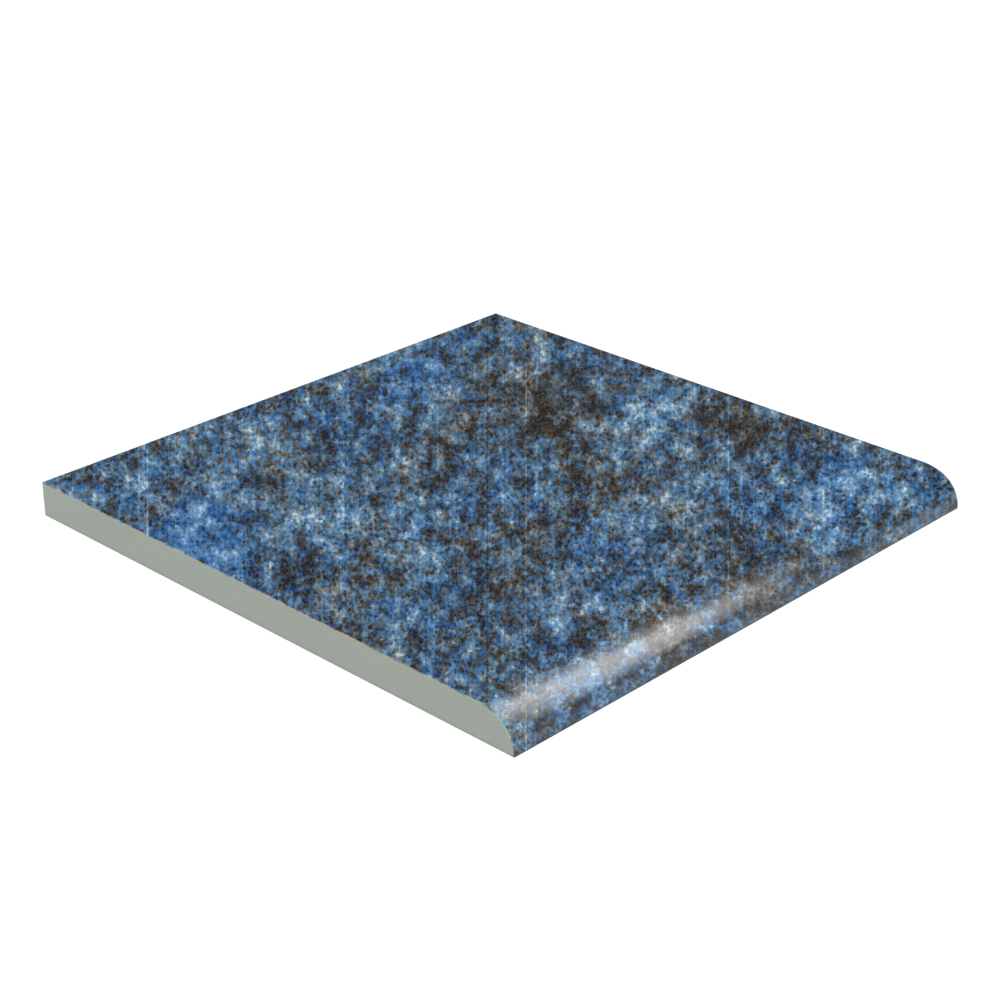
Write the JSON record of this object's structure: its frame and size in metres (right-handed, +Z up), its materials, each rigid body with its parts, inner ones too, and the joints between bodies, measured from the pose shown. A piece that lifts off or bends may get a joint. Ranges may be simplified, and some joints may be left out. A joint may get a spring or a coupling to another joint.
{
  "type": "bullnose floor tile",
  "caption": "Square pressed ceramic floor tile, glazed mottled blue over its face and one rounded nose edge, with plain butt edges and a recessed back.",
  "frame": {"origin": "middle of the footprint, on the floor side of the tile", "axes": "+Z up out of the glazed face, -Y out of the rounded nose, X along the nose"},
  "size_m": [0.15, 0.15, 0.0086],
  "materials": {
    "glazed_ceramic": "mottled blue glaze with dark brown and pale speckle over the face and the nose, satin to gloss; plain grey-green fired body on the butt edges and back"
  },
  "bodies": {
    "root": {"bullnose_tile": "glazed_ceramic"}
  },
  "joints": []
}
